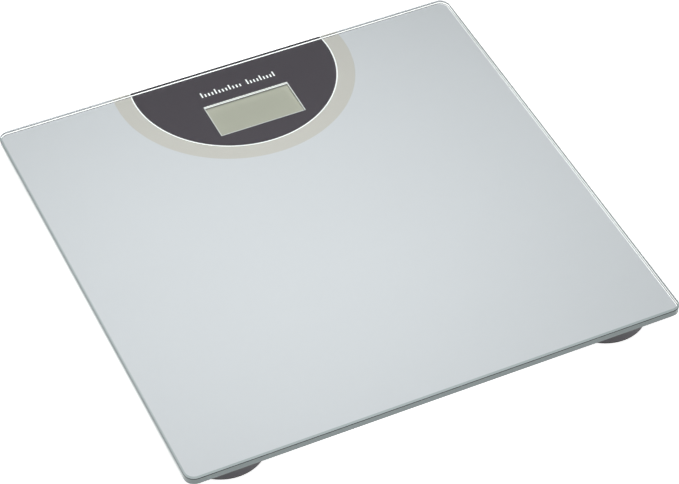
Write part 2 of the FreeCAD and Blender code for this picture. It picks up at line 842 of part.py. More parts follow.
def make_display_stack():
    """The display's glass cell between its polariser and its reflector, and its connectors."""
    half_x, half_y = "lcd_width / 2", "lcd_depth / 2"
    middle = "display_y"
    film_top, film_low = "lcd_top - film_thickness", "lcd_bottom + film_thickness"
    cell = block(
        "lcd_cell", f"-{half_x}", half_x,
        f"{middle} - {half_y}", f"{middle} + {half_y}", film_low, film_top,
    )
    piece(cell, "lcd_cell")
    inset = "film_inset"
    polariser = block(
        "lcd_polarizer", f"-{half_x} + {inset}", f"{half_x} - {inset}",
        f"{middle} - {half_y} + {inset}", f"{middle} + {half_y} - {inset}", film_top, "lcd_top",
    )
    piece(polariser, "lcd_polarizer")
    reach = "(lcd_depth / 2 - connector_inset - connector_width - reflector_gap)"
    reflector = block(
        "lcd_reflector", f"-{half_x} + {inset}", f"{half_x} - {inset}",
        f"{middle} - {reach}", f"{middle} + {reach}", "lcd_bottom", film_low,
    )
    piece(reflector, "lcd_reflector")
    half_long = "(lcd_width / 2 - connector_end_gap)"
    for name, sign in (("lcd_connector_front", -1), ("lcd_connector_back", 1)):
        centre = f"{middle} + {sign} * ({half_y} - connector_inset - connector_width / 2)"
        strip = block(
            name, f"-{half_long}", half_long,
            f"{centre} - connector_width / 2", f"{centre} + connector_width / 2", "board_top", film_low,
        )
        piece(strip, name)


def make_circuit_board():
    """Glass-fibre board on the housing's bosses."""
    body = piece(new_body("circuit_board"), "circuit_board")
    sketch = new_sketch(body, level="board_bottom")
    draw_box(sketch, "-board_left", "board_right", "-board_depth / 2", "board_depth / 2")
    add_pad(body, sketch, "board_thickness")
    add_edge_feature(body, "Fillet", lambda e: e.BoundBox.ZLength > 1e-3, Radius="board_corner")
    lugs, ends = screw_places()
    sketch = new_sketch(body, level="board_bottom")
    for x, y in lugs + ends:
        draw_circle(sketch, x, y, "board_hole_radius")
    add_pocket(body, sketch, "board_thickness", upward=True)
    seat_on_display(body)


def make_screw(name, x, y, seat):
    """Pan-head self-tapping screw with a cross drive; its head sits on the seat level."""
    y = f"display_y + {y}"
    shank_low = "board_bottom - screw_thread_length + screw_tip_gap"
    length = f"({seat}) - ({shank_low})"
    thread = cylinder(name + "_thread", "pilot_radius - pilot_grip", length, x, y, shank_low)
    head = cylinder(name + "_head", "screw_head_radius", "screw_head_rise", x, y, seat)
    solid = fuse(name + "_blank", [thread, head])
    top = f"{seat} + screw_head_rise"
    low = f"{top} - screw_drive_depth"
    long, thin = "screw_drive_length / 2", "screw_drive_width / 2"
    arms = []
    for tag, half_x, half_y in (("x", long, thin), ("y", thin, long)):
        arms.append(block(
            f"{name}_drive_{tag}", f"{x} - {half_x}", f"{x} + {half_x}",
            f"{y} - {half_y}", f"{y} + {half_y}", low, top,
        ))
    return cut(name, solid, arms)


def make_screws():
    lugs, ends = screw_places()
    for label, places, seat in (
        ("display_frame_screws", lugs, "lug_top"),
        ("board_screws", ends, "board_top"),
    ):
        screws = [make_screw(f"{label}_{n}", x, y, seat) for n, (x, y) in enumerate(places, 1)]
        piece(group(label, screws), label)


def make_board_parts():
    """What is soldered under the board: the bonded chip, capacitors, resistors."""
    chip = cone("controller_chip", "chip_top_radius", "chip_radius", "chip_rise",
                "chip_x", "display_y", "board_bottom - chip_rise")
    piece(chip, "controller_chip")
    for kind in ("capacitor", "resistor"):
        count = int(size(f"{kind}_count"))
        row = []
        for n in range(count):
            y = f"display_y + ({n} - ({kind}_count - 1) / 2) * {kind}_pitch"
            row.append(block(
                f"{kind}_{n + 1}", f"{kind}_x", f"{kind}_x + {kind}_length",
                f"{y} - {kind}_width / 2", f"{y} + {kind}_width / 2",
                f"board_bottom - {kind}_rise", "board_bottom",
            ))
        piece(group(f"board_{kind}s", row), f"board_{kind}s")


def make_unit_switch():
    """Tact switch under the board, its stem, and the button that presses the stem."""
    body = piece(new_body("unit_switch"), "unit_switch")
    sketch = new_sketch(body, level="board_bottom - switch_rise")
    half = "switch_side / 2"
    draw_box(sketch, f"-{half}", half, f"-{half}", half)
    add_pad(body, sketch, "switch_rise")
    sketch = new_sketch(body, level="board_bottom - switch_rise")
    draw_circle(sketch, "0", "0", "stem_radius + stem_clearance")
    add_pocket(body, sketch, "switch_rise - switch_roof", upward=True)
    place(body, "-button_x", "display_y")

    flange_low = "housing_floor_top + button_float"
    flange_top = f"{flange_low} + button_flange_rise"
    stem_low = f"{flange_top} + button_float"
    stem_height = f"board_bottom - switch_roof - seat_clearance - button_travel - ({stem_low})"
    stem = cylinder("unit_switch_stem", "stem_radius", stem_height, "-button_x", "display_y", stem_low)
    piece(stem, "unit_switch_stem")

    button = piece(new_body("unit_button"), "unit_button")
    cap_low = "housing_lift - button_proud"
    add_revolution(button, [
        ("0", cap_low),
        ("button_radius", cap_low),
        ("button_radius", flange_low),
        ("button_flange_radius", flange_low),
        ("button_flange_radius", flange_top),
        ("0", flange_top),
    ])
    low = size(cap_low)
    add_edge_feature(button, "Fillet", lambda e: flat_at(e, low), Radius="button_edge_round")
    place(button, "-button_x", "display_y")


def make_coin_cell():
    """Lithium coin cell: the can faces the door and the smaller cap faces the board."""
    body = piece(new_body("coin_cell"), "coin_cell")
    shoulder = "battery_top - battery_cap_rise"
    add_revolution(body, [
        ("0", "battery_bottom"),
        ("battery_radius - battery_edge", "battery_bottom"),
        ("battery_radius", "battery_bottom + battery_edge"),
        ("battery_radius", f"{shoulder} - battery_edge"),
        ("battery_radius - battery_edge", shoulder),
        ("battery_radius - battery_cap_inset", shoulder),
        ("battery_radius - battery_cap_inset", "battery_top"),
        ("0", "battery_top"),
    ])
    place(body, "battery_x", "display_y")


def make_battery_contacts():
    """Bent spring strips that run from the cell to the board's edge."""
    leaf_top = "battery_top + contact_thickness"
    tab_top = "board_top + contact_thickness"
    tab_end = "board_right - contact_tab"
    bend = "contact_bend"
    negative = [
        ("battery_x - battery_radius / 4", "battery_top"),
        ("battery_x - battery_radius / 4", leaf_top),
        (f"{bend} + contact_thickness", leaf_top),
        (f"{bend} + contact_thickness", tab_top),
        (tab_end, tab_top),
        (tab_end, "board_top"),
        (bend, "board_top"),
        (bend, "battery_top"),
    ]
    inner = "battery_x - battery_radius - seat_clearance / 2"
    positive = [
        (inner, "bay_top"),
        (inner, leaf_top),
        (f"{bend} + contact_thickness", leaf_top),
        (f"{bend} + contact_thickness", tab_top),
        (tab_end, tab_top),
        (tab_end, "board_top"),
        (bend, "board_top"),
        (bend, "battery_top"),
        (f"{inner} - contact_thickness", "battery_top"),
        (f"{inner} - contact_thickness", "bay_top"),
    ]
    for label, corners, middle, width in (
        ("battery_contact_negative", negative, "negative_y", "negative_width"),
        ("battery_contact_positive", positive, "0", "positive_width"),
    ):
        body = piece(new_body(label), label)
        sketch = new_sketch(body, "XZ_Plane")
        draw_outline(sketch, corners)
        pad = add_pad(body, sketch, width)
        pad.Midplane = True
        place(body, "0", f"display_y + {middle}")


def make_battery_door():
    """Door that slides outward; its wings run in grooves of the battery bay."""
    body = piece(new_body("battery_door"), "battery_door")
    left = "battery_x - bay_left + 2 * door_play"
    right = "housing_width / 2"
    sketch = new_sketch(body, level="housing_lift")
    draw_box(sketch, left, right, "-door_half_depth", "door_half_depth")
    add_pad(body, sketch, "door_thickness")
    sketch = new_sketch(body, level="door_top")
    wing = "(door_half_depth + door_wing)"
    draw_box(sketch, left, right, f"-{wing}", wing)
    add_pad(body, sketch, "door_wing_rise", reverse=True)
    sketch = new_sketch(body, level="housing_lift")
    half = "door_grip_length / 2"
    for n in range(int(size("door_grip_count"))):
        near = f"{right} - ({n} + 1.5) * door_grip_pitch"
        draw_box(sketch, near, f"{near} + door_grip_width", f"-{half}", half)
    add_pocket(body, sketch, "door_grip_depth", upward=True)
    seat_on_display(body)


# ------------------------------------------------------------------------------ leads

def lead_route(side, end):
    """Points of one foot's lead, from its strain gauge to the board."""
    foot = size("foot_place")
    level, low = size("lead_level"), size("lead_board_level")
    turn = math.radians(size(lead_heading(side, end)))
    start = size("lead_start")
    x0, y0 = side * foot + start * math.cos(turn), end * foot + start * math.sin(turn)
    entry_y = size("display_y") + end * size("lead_spacing") / 2
    brim = size("housing_width / 2 + brim_reach")
    turn_in = size("lead_turn_in")
    points = [(x0, y0, level)]
    if end < 0:
        bow = foot - size("lead_bow")
        sway = bow - size("lead_sway")
        rise = size("half_side / 2 - foot_inset")
        points.append((side * bow, rise - foot, level))
        points.append((side * sway, entry_y - 3 * turn_in, level))
        points.append((side * (brim + turn_in), entry_y, level))
    else:
        clear = size("foot_place - foot_radius - lead_foot_gap")
        points.append((side * clear, end * foot, level))
        points.append((side * (brim + size("lead_back_entry")), entry_y, level))
    landing = size("board_left") - turn_in if side < 0 else size("board_right + lead_overhang")
    points.append((side * (landing + size("lead_descent")), entry_y, level))
    points.append((side * landing, entry_y, low))
    points.append((side * (landing - size("lead_tail")), entry_y, low))
    return [FreeCAD.Vector(*point) for point in points]


def rounded_path(points):
    """Straight runs joined by tangent arcs, which end before the housing's brim."""
    edges = []
    position = points[0]
    for before, corner, after in zip(points, points[1:], points[2:]):
        inward = (before - corner).normalize()
        outward = (after - corner).normalize()
        turn = math.pi - inward.getAngle(outward)
        shorter = min((corner - before).Length, (after - corner).Length)
        reach = min(0.45 * shorter, size("lead_turn_in"))
        radius = reach / math.tan(turn / 2)
        print(f"bend radius {radius:.1f}")
        tangent_in, tangent_out = corner + inward * reach, corner + outward * reach
        bisector = (inward + outward).normalize()
        middle = corner + bisector * (radius / math.cos(turn / 2) - radius)
        edges.append(Part.LineSegment(position, tangent_in).toShape())
        edges.append(Part.Arc(tangent_in, middle, tangent_out).toShape())
        position = tangent_out
    edges.append(Part.LineSegment(position, points[-1]).toShape())
    return Part.Wire(edges)


def make_lead(corner, side, end):
    """Sleeved three-core lead from the load cell to the board."""
    points = lead_route(side, end)
    path = rounded_path(points)
    radius = size("lead_radius")
    along = points[1] - points[0]
    profile = Part.Wire([Part.Circle(points[0], along, radius).toShape()])
    tube = path.makePipeShell([profile], True, False)
    expected = math.pi * radius ** 2 * path.Length
    if abs(tube.Volume - expected) > 0.002 * expected:
        raise ValueError(f"lead {corner}: volume {tube.Volume:.2f}, expected {expected:.2f}")
    print(f"lead {corner}: length {path.Length:.1f}")
    item = doc.addObject("Part::Feature", f"sensor_lead_{corner}")
    item.Shape = tube
    piece(item, f"sensor_lead_{corner}")


def make_lead_clips():
    """Saddles bonded to the glass over the two long leads."""
    length, width, rise = size("clip_length"), size("clip_width"), size("clip_rise")
    slot = size("lead_slot_width")
    glass = size("stand_height")
    channel_low = size("lead_level - lead_radius - lead_channel_gap")
    saddles = []
    for side in (-1, 1):
        points = lead_route(side, -1)
        run = points[2] - points[1]
        turn = math.degrees(math.atan2(run.y, run.x))
        for n in (-1, 0, 1):
            centre = (points[1] + points[2]) * 0.5 + run.normalize() * (n * size("clip_pitch"))
            low_corner = FreeCAD.Vector(-length / 2, -width / 2, glass - rise)
            channel_corner = FreeCAD.Vector(-length / 2, -slot / 2, channel_low)
            saddle = Part.makeBox(length, width, rise, low_corner)
            saddle = saddle.cut(Part.makeBox(length, slot, glass - channel_low, channel_corner))
            turned = FreeCAD.Rotation(FreeCAD.Vector(0, 0, 1), turn)
            saddle.Placement = FreeCAD.Placement(FreeCAD.Vector(centre.x, centre.y, 0), turned)
            saddles.append(saddle)
    item = doc.addObject("Part::Feature", "lead_clips")
    item.Shape = Part.makeCompound(saddles)
    piece(item, "lead_clips")


def make_solder_joints():
    """Solder where each lead ends on the board."""
    joints = []
    for corner, (side, end) in CORNERS.items():
        tip = lead_route(side, end)[-1]
        x = tip.x - side * (size("solder_radius") + size("seat_clearance"))
        joint = cone(f"solder_{corner}", "solder_radius", "solder_top_radius", "solder_rise",
                     str(round(x, 6)), f"display_y + {end} * lead_spacing / 2", "board_top")
        joints.append(joint)
    piece(group("lead_solder_joints", joints), "lead_solder_joints")


# --------------------------------------------------------------------------- assembly

make_glass_platform()
for corner, (side, end) in CORNERS.items():
    make_foot_adhesive(corner, side, end)
    make_sensor_bracket(corner, side, end)
    make_load_cell(corner, side, end)
    make_strain_gauge(corner, side, end)
    make_foot_cup(corner, side, end)
    make_foot_pad(corner, side, end)
    make_lead(corner, side, end)
make_lead_clips()
make_control_housing()
make_housing_tape()
make_display_frame()
make_display_stack()
make_circuit_board()
make_screws()
make_board_parts()
make_solder_joints()
make_unit_switch()
make_coin_cell()
make_battery_contacts()
make_battery_door()
doc.recompute()

# ------------------------------------------------------------------ checks and export

for item in doc.Objects:
    if "Invalid" in item.State or "Error" in item.State:
        raise ValueError(f"{item.Label} failed: {item.State}")
os.makedirs("parts", exist_ok=True)
for item in pieces:
    if item.Shape.isNull() or not item.Shape.isValid():
        raise ValueError(f"{item.Label} has no valid shape")
    item.Shape.exportStep(f"parts/{item.Label}.step")
    print(f"{item.Label}: {len(item.Shape.Solids)} solids, volume {item.Shape.Volume:.1f}")
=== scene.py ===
import bmesh
import bpy
import math
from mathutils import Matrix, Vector


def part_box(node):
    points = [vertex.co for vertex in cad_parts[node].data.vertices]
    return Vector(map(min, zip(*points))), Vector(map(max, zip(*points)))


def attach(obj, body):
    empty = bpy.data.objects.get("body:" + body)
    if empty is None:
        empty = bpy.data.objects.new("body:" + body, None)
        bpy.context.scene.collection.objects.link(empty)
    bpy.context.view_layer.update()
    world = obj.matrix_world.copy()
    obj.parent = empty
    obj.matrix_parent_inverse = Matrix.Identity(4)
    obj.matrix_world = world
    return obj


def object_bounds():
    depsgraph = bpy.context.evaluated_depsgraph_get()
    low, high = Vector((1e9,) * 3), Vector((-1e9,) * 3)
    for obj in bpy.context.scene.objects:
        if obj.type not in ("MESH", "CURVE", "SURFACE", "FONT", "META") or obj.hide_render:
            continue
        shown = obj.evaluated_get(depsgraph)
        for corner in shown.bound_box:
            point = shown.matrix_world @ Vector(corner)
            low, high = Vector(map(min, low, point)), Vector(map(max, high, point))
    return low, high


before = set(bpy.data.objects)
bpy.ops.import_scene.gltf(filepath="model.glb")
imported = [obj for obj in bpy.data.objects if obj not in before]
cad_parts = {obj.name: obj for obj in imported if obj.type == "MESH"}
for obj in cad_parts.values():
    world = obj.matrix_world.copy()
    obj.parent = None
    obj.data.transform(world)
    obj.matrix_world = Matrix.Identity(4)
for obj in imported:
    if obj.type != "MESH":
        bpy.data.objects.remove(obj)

cad_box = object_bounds()


# ---- Glass platform ------------------------------------------------------------------
# A square of 6 mm clear float glass, toughened, with its edges ground to narrow chamfers
# and polished. It is colourless through its thickness and green where light runs along it.

class Socket:
    """A node's output. Arithmetic on it adds Math nodes to the same material."""

    def __init__(self, finish, socket):
        self.finish, self.socket = finish, socket

    def math(self, operation, a, b=0.0):
        return self.finish.node("ShaderNodeMath", {"operation": operation}, {0: a, 1: b})

    def __add__(self, other):
        return self.math("ADD", self, other)

    def __sub__(self, other):
        return self.math("SUBTRACT", self, other)

    def __rsub__(self, other):
        return self.math("SUBTRACT", other, self)

    def __mul__(self, other):
        return self.math("MULTIPLY", self, other)

    def __truediv__(self, other):
        return self.math("DIVIDE", self, other)

    def __rtruediv__(self, other):
        return self.math("DIVIDE", other, self)

    def __lt__(self, other):
        return self.math("LESS_THAN", self, other)

    def __gt__(self, other):
        return self.math("GREATER_THAN", self, other)

    def __mod__(self, other):
        return self.math("FLOORED_MODULO", self, other)

    def __rmod__(self, other):
        return self.math("FLOORED_MODULO", other, self)

    def __abs__(self):
        return self.math("ABSOLUTE", self)

    def larger(self, other):
        return self.math("MAXIMUM", self, other)

    __radd__, __rmul__ = __add__, __mul__


class Finish:
    """A material, or another node tree, for one of the object's finishes."""

    def __init__(self, name, kind=bpy.data.materials):
        self.made = kind.new(name)
        self.made.use_nodes = True
        self.tree = self.made.node_tree
        self.tree.nodes.clear()

    def node(self, kind, settings=None, values=None, output=0):
        """Any node: its type, its settings, its sockets' values or links, and an output."""
        made = self.tree.nodes.new(kind)
        for key, setting in (settings or {}).items():
            setattr(made, key, setting)
        for key, value in (values or {}).items():
            if isinstance(value, Socket):
                self.tree.links.new(value.socket, made.inputs[key])
            else:
                made.inputs[key].default_value = value
        return Socket(self, made.outputs[output]) if made.outputs else None

    def place(self):
        """The point on the surface, in metres."""
        return self.node("ShaderNodeTexCoord", output="Object")

    def normal(self):
        """The direction that the surface faces."""
        return self.node("ShaderNodeNewGeometry", output="Normal")

    def axes(self, vector):
        split = self.node("ShaderNodeSeparateXYZ", values={0: vector})
        return [Socket(self, output) for output in split.socket.node.outputs]

    def noise(self, size, detail=3.0, where=None):
        """Soft random grain, from 0 to 1, whose features are about this size in metres."""
        values = {"Vector": where or self.place(), "Scale": 1 / size, "Detail": detail}
        return self.node("ShaderNodeTexNoise", values=values)

    def mix(self, share, first, second):
        """A colour between two colours."""
        settings = {"data_type": "RGBA"}
        return self.node("ShaderNodeMix", settings, {0: share, 6: first, 7: second}, output=2)

    def either(self, share, first, second):
        """A shader between two shaders."""
        return self.node("ShaderNodeMixShader", values={0: share, 1: first, 2: second})

    def relief(self, height, depth, strength=1.0):
        """A bump map of this depth in metres, for Normal."""
        values = {"Height": height, "Distance": depth, "Strength": strength}
        return self.node("ShaderNodeBump", values=values)

    def close(self, shader, **more):
        self.node("ShaderNodeOutputMaterial", values={"Surface": shader, **more})
        return self.made

    def principled(self, **values):
        """The Principled shader. Its sockets are named with _ for a space."""
        named = {key.replace("_", " "): value for key, value in values.items()}
        return self.node("ShaderNodeBsdfPrincipled", values=named)


def paint(material, *names):
    """Gives CAD nodes their finish."""
    for name in names:
        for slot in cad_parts[name].material_slots:
            slot.material = material


glass_low, glass_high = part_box("glass_platform")
glass_depth = glass_high.z - glass_low.z
glass_chamfer = 0.0011
arris_width = 0.0002
lower_arris_height = 0.0003
flat_tilt = 0.98
upright_tilt = 0.4
far_side_tilt = 0.2


def tempered_glass():
    """Clear inside. Its ground facets and their arrises carry painted shade for the way they
    bend the light: the upright faces and upper chamfers are tinted dark, darker on the right
    and back than on the front and left, and the arrises are dark lines.
    """
    finish = Finish("tempered_glass")
    facing_x, facing_y, facing_z = finish.axes(finish.normal())
    tilt = abs(facing_z)
    ground = tilt < flat_tilt
    grinding = finish.noise(0.0004)
    upright = tilt < upright_tilt
    height = finish.axes(finish.place())[2] - glass_low.z
    lower = height < glass_depth / 2
    # painted shade: chamfers and arrises that face right or back get darker tints than those
    # that face front or left
    painted_shade_far_side = facing_x + facing_y > far_side_tilt
    upper_chamfer_painted_shade = finish.mix(painted_shade_far_side, (0.42, 0.49, 0.475, 1.0), (0.10, 0.125, 0.12, 1.0))
    chamfer = finish.mix(lower, upper_chamfer_painted_shade, (0.97, 0.98, 0.98, 1.0))
    # painted shade: the upright faces are tinted dark green
    facet_painted_shade = finish.mix(upright, chamfer, (0.05, 0.07, 0.066, 1.0))
    inward = glass_depth / 2 - abs(height - glass_depth / 2)
    # painted shade: the outer arrises and the lower arris are drawn as dark metallic lines
    outer_arris = abs(inward - glass_chamfer) < arris_width
    lower_arris = height < lower_arris_height
    arris = outer_arris.larger(lower_arris) * ground
    arris_painted_shade = finish.mix(painted_shade_far_side, (0.10, 0.115, 0.112, 1.0), (0.02, 0.024, 0.024, 1.0))
    facet_painted_shade = finish.mix(arris, facet_painted_shade, arris_painted_shade)
    glass = finish.principled(
        Base_Color=finish.mix(ground, (1.0, 1.0, 1.0, 1.0), facet_painted_shade),
        Roughness=ground * (grinding * 0.05 + 0.03),
        Metallic=arris,
        IOR=1.52,
        Transmission_Weight=1.0,
    )
    clear = finish.node("ShaderNodeBsdfTransparent", values={"Color": (0.94, 0.96, 0.955, 1.0)})
    lamp_ray = finish.node("ShaderNodeLightPath", output="Is Shadow Ray")
    soft_ray = finish.node("ShaderNodeLightPath", output="Is Diffuse Ray")
    tint = {"Color": (0.15, 0.70, 0.52, 1.0), "Density": 7.0}
    body = finish.node("ShaderNodeVolumeAbsorption", values=tint)
    return finish.close(finish.either(lamp_ray.larger(soft_ray), glass, clear), Volume=body)


paint(tempered_glass(), "glass_platform")


# ---- Screen print --------------------------------------------------------------------
# Ink printed on the underside of the glass, one pass for each colour: white marks and
# lines, a charcoal half disc, a champagne ring round it and the silver field. A pale base
# coat backs the disc and ring. The display window is left unprinted.

under_glass = glass_low.z
display_low, display_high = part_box("lcd_cell")
display_y = (display_low.y + display_high.y) / 2
field_side = glass_high.x - glass_chamfer
field_corner = 0.0054
clear_margin = 0.0004
disc_centre = 0.1414
disc_radius = 0.0639
ring_inner = 0.0647
ring_radius = 0.0754
pass_gap = 0.00001
window_width = 0.0555
window_depth = 0.0284
window_line = 0.00045
window_back_line = 0.0001
facing_down = -0.5


def arc(centre_x, centre_y, radius, start, end, steps):
    """Points along an arc between two angles in degrees."""
    turns = [math.radians(start + (end - start) * n / steps) for n in range(steps + 1)]
    return [(centre_x + radius * math.cos(t), centre_y + radius * math.sin(t)) for t in turns]


def rectangle(left, right, front, back):
    return [(left, front), (right, front), (right, back), (left, back)]


def bowl(radius, steps=96):
    """The arc of a disc from the field's back edge round the front and back to it."""
    cut = math.degrees(math.asin((field_side - disc_centre) / radius))
    return arc(0.0, disc_centre, radius, cut, -180 - cut, steps)


def film(name, outlines, low, high, material):
    """A thin flat piece with these outlines, holes included, between two levels."""
    build = bmesh.new()
    edges = []
    for outline in outlines:
        corners = [build.verts.new((x, y, low)) for x, y in outline]
        edges += [build.edges.new(pair) for pair in zip(corners, corners[1:] + corners[:1])]
    bmesh.ops.triangle_fill(build, use_beauty=True, edges=edges, normal=(0, 0, 1))
    raised = bmesh.ops.extrude_face_region(build, geom=build.faces[:])["geom"]
    top = [item for item in raised if isinstance(item, bmesh.types.BMVert)]
    bmesh.ops.translate(build, verts=top, vec=(0, 0, high - low))
    bmesh.ops.recalc_face_normals(build, faces=build.faces[:])
    mesh = bpy.data.meshes.new(name)
    build.to_mesh(mesh)
    build.free()
    piece = bpy.data.objects.new(name, mesh)
    bpy.context.scene.collection.objects.link(piece)
    mesh.materials.append(material)
    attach(piece, "platform")


def ink(name, light, dark, gloss, painted_glow=0.0):
    """Printed ink: a fine flake, faint squeegee streaks along X and slow cloudiness. Its
    underside is covered by a grey sealing coat. A glow, where given, is painted light."""
    finish = Finish(name)
    point = finish.place()
    stretch = finish.node("ShaderNodeMapping", values={"Vector": point, "Scale": (0.04, 1, 1)})
    flake = finish.noise(0.00012, 2.0, point)
    streaks = finish.noise(0.003, 2.0, stretch)
    cloud = finish.noise(0.12, 1.0, point)
    tone = flake * 0.3 + streaks * 0.3 + cloud * 0.4
    underside = finish.axes(finish.normal())[2] < facing_down
    seal = finish.mix(tone, (0.30, 0.305, 0.31, 1), (0.36, 0.365, 0.37, 1))
    shader = finish.principled(
        Base_Color=finish.mix(underside, finish.mix(tone, dark, light), seal),
        Roughness=flake * 0.15 + gloss,
        Emission_Color=(1.0, 1.0, 1.0, 1.0),
        Emission_Strength=painted_glow,
        Normal=finish.relief(flake, 0.00002, 0.3),
    )
    return finish.close(shader)


silver_ink = ink("silver_ink", (0.755, 0.745, 0.785, 1), (0.715, 0.705, 0.745, 1), 0.45)
charcoal_ink = ink("charcoal_ink", (0.074, 0.061, 0.075, 1), (0.064, 0.053, 0.065, 1), 0.5)
champagne_ink = ink("champagne_ink", (0.685, 0.64, 0.605, 1), (0.645, 0.60, 0.565, 1), 0.45)
base_ink = ink("base_ink", (0.62, 0.63, 0.61, 1), (0.57, 0.58, 0.56, 1), 0.5)
# the white ink glows with painted light
white_ink = ink("white_ink", (0.99, 0.985, 0.985, 1), (0.95, 0.945, 0.945, 1), 0.5, 0.3)
line_ink = ink("line_ink", (0.80, 0.81, 0.80, 1), (0.76, 0.77, 0.76, 1), 0.5)

window_front = display_y - window_depth / 2
window_back = display_y + window_depth / 2
window_side = window_width / 2
window = rectangle(-window_side, window_side, window_front, window_back)
line_inner = rectangle(-window_side + window_line, window_side - window_line,
                       window_front + window_line, window_back - window_back_line)

inner = field_side - field_corner
inner_right = inner - clear_margin
field = bowl(ring_radius + 2 * pass_gap)
field += arc(-inner, inner, field_corner, 90, 180, 10)
field += arc(-inner, -inner, field_corner, 180, 270, 10)
field += arc(inner_right, -inner, field_corner, 270, 360, 10)
field += arc(inner_right, inner, field_corner, 0, 90, 10)
ring = bowl(ring_radius) + bowl(ring_inner)[::-1]
white_line = bowl(ring_inner - pass_gap) + bowl(disc_radius + pass_gap)[::-1]

film_half = 0.00003
colour_low, colour_high = under_glass - film_half, under_glass + film_half
film("print_silver_field", [field], colour_low, colour_high, silver_ink)
film("print_ring", [ring], colour_low, colour_high, champagne_ink)
film("print_half_disc", [bowl(disc_radius), window], colour_low, colour_high,
     charcoal_ink)
film("print_white_line", [white_line], colour_low, colour_high, white_ink)
film("print_window_line", [window, line_inner], colour_low, colour_high, line_ink)

base_inset = 0.001
base_low, base_high = under_glass - 0.00005, under_glass + 0.00001
film("print_base_coat", [bowl(ring_radius - base_inset), window], base_low, base_high,
     base_ink)

tick_height = 0.0045
short_tick = tick_height / 1.7
tick_width = 0.0009
tick_middle = 0.1319
tick_foot = tick_middle - tick_height / 2
tick_gap = 0.0022
ticks_per_tall = 4
tick_low, tick_high = colour_high - 0.00001, colour_high + 0.00002
tick_rows = ((-0.0250, 0.0011), (0.0052, 0.0235))
for row, (first, last) in enumerate(tick_rows):
    run = last - first - tick_width
    count = round(run / tick_gap)
    for n in range(count + 1):
        left = first + n * run / count
        rise = tick_height if n % ticks_per_tall == 0 else short_tick
        mark = rectangle(left, left + tick_width, tick_foot, tick_foot + rise)
        film(f"print_tick_{row}_{n:02d}", [mark], tick_low, tick_high, white_ink)


# ---- Feet ----------------------------------------------------------------------------
# Four round feet moulded in dark grey ABS with a spark-eroded texture. Each has a rubber
# pad bonded underneath and slides a little on a bracket that is stuck to the glass.

def moulding(name, light, dark, gloss, grain=0.00035, depth=0.00004):
    """Moulded plastic: eroded grain, a slow drift of tone and slightly uneven gloss."""
    finish = Finish(name)
    point = finish.place()
    erosion = finish.noise(grain, 3.0, point)
    drift = finish.noise(0.03, 2.0, point)
    shader = finish.principled(
        Base_Color=finish.mix(erosion * 0.4 + drift * 0.6, dark, light),
        Roughness=drift * 0.12 + erosion * 0.08 + gloss,
        Normal=finish.relief(erosion, depth, 0.6),
    )
    return finish.close(shader)


def pad_rubber():
    """Moulded rubber: fine pores, and dust held in the low spots."""
    finish = Finish("pad_rubber")
    point = finish.place()
    pores = finish.noise(0.00025, 4.0, point)
    dust = finish.noise(0.006, 3.0, point)
    dusty = finish.mix(dust * pores, (0.035, 0.035, 0.037, 1), (0.085, 0.083, 0.082, 1))
    shader = finish.principled(
        Base_Color=dusty,
        Roughness=pores * 0.15 + 0.72,
        Normal=finish.relief(pores, 0.00005, 0.7),
    )
    return finish.close(shader)


def plated_steel(name, colour, grain, stretch=(1, 1, 1), gloss=0.25):
    """Plated steel with the fine lines that rolling or turning leaves."""
    finish = Finish(name)
    point = finish.place()
    drawn = finish.node("ShaderNodeMapping", values={"Vector": point, "Scale": stretch})
    lines = finish.noise(grain, 4.0, drawn)
    stain = finish.noise(0.004, 2.0, point)
    dull = tuple(channel * 0.8 for channel in colour[:3]) + (1,)
    shader = finish.principled(
        Base_Color=finish.mix(lines * 0.5 + stain * 0.5, dull, colour),
        Metallic=1.0,
        Roughness=lines * 0.15 + stain * 0.1 + gloss,
        Normal=finish.relief(lines, 0.00001, 0.5),
    )
    return finish.close(shader)


def foam(name, colour):
    """Closed-cell foam: small round cells cut open at the surface."""
    finish = Finish(name)
    cell_size = 0.0004
    values = {"Vector": finish.place(), "Scale": 1 / cell_size}
    cells = finish.node("ShaderNodeTexVoronoi", values=values, output="Distance")
    pale = tuple(channel * 1.6 for channel in colour[:3]) + (1,)
    shader = finish.principled(
        Base_Color=finish.mix(cells, colour, pale),
        Roughness=0.9,
        Normal=finish.relief(cells, 0.0001, 0.8),
    )
    return finish.close(shader)


foot_abs = moulding("foot_abs", (0.060, 0.056, 0.065, 1), (0.046, 0.043, 0.051, 1), 0.42)
bracket_abs = moulding("bracket_abs", (0.06, 0.06, 0.062, 1), (0.045, 0.045, 0.048, 1), 0.5)
rubber = pad_rubber()
cell_steel = plated_steel("load_cell_steel", (0.66, 0.66, 0.65, 1), 0.0006, (0.05, 1, 1))
gauge_coat = moulding("gauge_silicone", (0.86, 0.86, 0.84, 1), (0.78, 0.78, 0.76, 1), 0.3,
                      0.0009)
bond = foam("foam_adhesive", (0.05, 0.05, 0.05, 1))
foot_corners = ("front_left", "front_right", "back_left", "back_right")
for corner in foot_corners:
    paint(foot_abs, f"foot_cup_{corner}")
    paint(rubber, f"foot_pad_{corner}")
    paint(bracket_abs, f"sensor_bracket_{corner}")
    paint(cell_steel, f"load_cell_{corner}")
    paint(gauge_coat, f"strain_gauge_{corner}")
    paint(bond, f"foot_adhesive_{corner}")


# ---- Leads and clips -----------------------------------------------------------------
# Each load cell's fine wires run in a soft PVC sleeve along the underside of the glass,
# held by small nylon saddles that are bonded to it.

